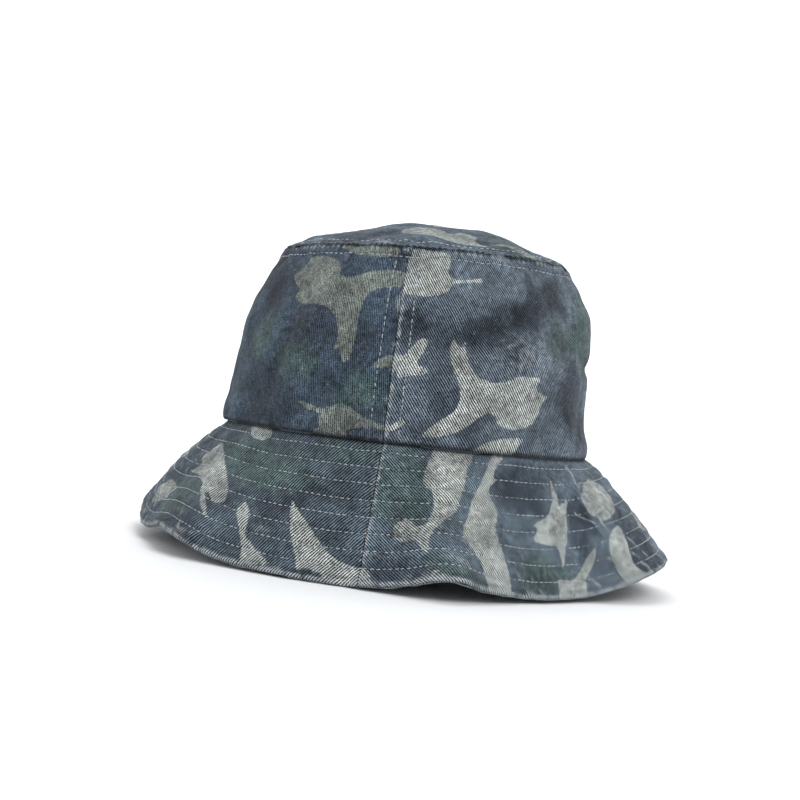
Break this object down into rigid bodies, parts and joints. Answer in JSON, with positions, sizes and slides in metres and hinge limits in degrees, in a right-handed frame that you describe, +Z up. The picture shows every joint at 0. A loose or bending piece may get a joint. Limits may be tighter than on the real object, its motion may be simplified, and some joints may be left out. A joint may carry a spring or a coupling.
{
  "type": "bucket hat",
  "caption": "Soft bucket hat in camouflage cotton twill with an oval crown and a downturned, wavy brim stitched in concentric rows.",
  "frame": {"origin": "on the table, under the middle of the hat's box, with the hat standing on its brim", "axes": "+X towards the wearer's front, +Z up, +Y towards the wearer's left"},
  "size_m": [0.289, 0.2482, 0.1792],
  "materials": {
    "camouflage_twill": "matt washed cotton twill printed with slate blue, green, khaki and near-black",
    "interlining": "matt stiff plain-weave cotton",
    "sweatband_cotton": "matt cotton twill, plain dark slate",
    "seam_tape": "matt herringbone cotton tape",
    "label_ribbon": "satin polyester ribbon, blank",
    "thread": "matt spun polyester sewing thread"
  },
  "bodies": {
    "hat": {"crown_top_panel": "camouflage_twill", "crown_side_panel_front": "camouflage_twill", "crown_side_panel_rear": "camouflage_twill", "brim_upper_front": "camouflage_twill", "brim_upper_rear": "camouflage_twill", "brim_under_front": "camouflage_twill", "brim_under_rear": "camouflage_twill", "brim_interlining_front": "interlining", "brim_interlining_rear": "interlining", "sweatband": "sweatband_cotton", "top_seam_tape": "seam_tape", "side_seam_tape_left": "seam_tape", "side_seam_tape_right": "seam_tape", "size_label": "label_ribbon", "top_seam_stitch_upper": "thread", "top_seam_stitch_lower": "thread", "base_seam_thread": "thread", "side_seam_stitch_left_front": "thread", "side_seam_stitch_left_rear": "thread", "side_seam_stitch_right_front": "thread", "side_seam_stitch_right_rear": "thread", "brim_stitch_row_1": "thread", "brim_stitch_row_2": "thread", "brim_stitch_row_3": "thread", "brim_stitch_row_4": "thread", "brim_stitch_row_5": "thread", "brim_stitch_row_6": "thread", "brim_stitch_row_7": "thread", "brim_stitch_row_8": "thread"},
    "label": {"care_label": "label_ribbon"}
  },
  "joints": [
    {"name": "care_label_swing", "type": "hinge", "parent": "hat", "child": "label", "pos_m": [-0.00089, -0.08179, 0.09515], "axis": [1, 0, 0], "range_deg": [0, 110]}
  ]
}
